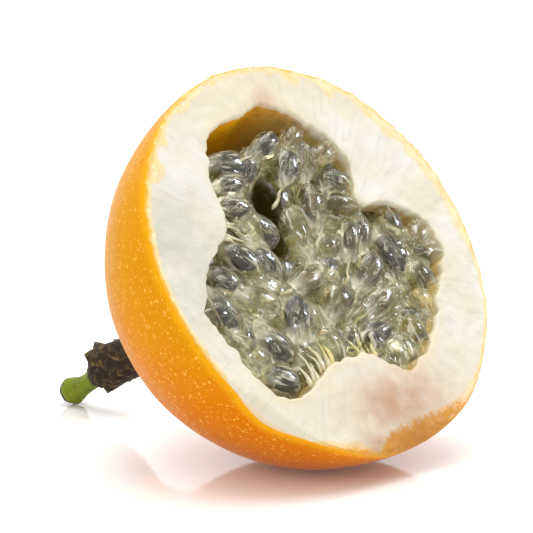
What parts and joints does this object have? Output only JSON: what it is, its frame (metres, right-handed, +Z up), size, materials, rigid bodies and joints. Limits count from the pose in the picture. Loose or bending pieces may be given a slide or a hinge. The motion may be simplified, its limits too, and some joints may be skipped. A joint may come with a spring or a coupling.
{
  "type": "passion fruit half",
  "caption": "Stem half of an orange passion fruit, cut across and lying on its side, with white pith, glassy pulp with dark seeds, dry calyx and green stalk.",
  "frame": {"origin": "middle of the bounding box, on the table plane that the belly and the stalk's end rest on", "axes": "+Y runs along the longest extent, level, from the cut face to the stalk; +Z is up and the shortest extent; +X is across the fruit. The cut face looks towards -Y and 32 degrees up."},
  "size_m": [0.069, 0.0776, 0.0622],
  "materials": {
    "rind": "smooth waxy orange skin with pale freckles, over thick spongy white pith where it is cut",
    "pulp": "wet glassy grey-green juice sacs round dark slate seeds",
    "dry_calyx": "dry brown papery scales",
    "green_stalk": "smooth green stem"
  },
  "bodies": {
    "root": {"shell": "rind", "pulp": "pulp", "calyx": "dry_calyx", "stalk": "green_stalk"}
  },
  "joints": []
}
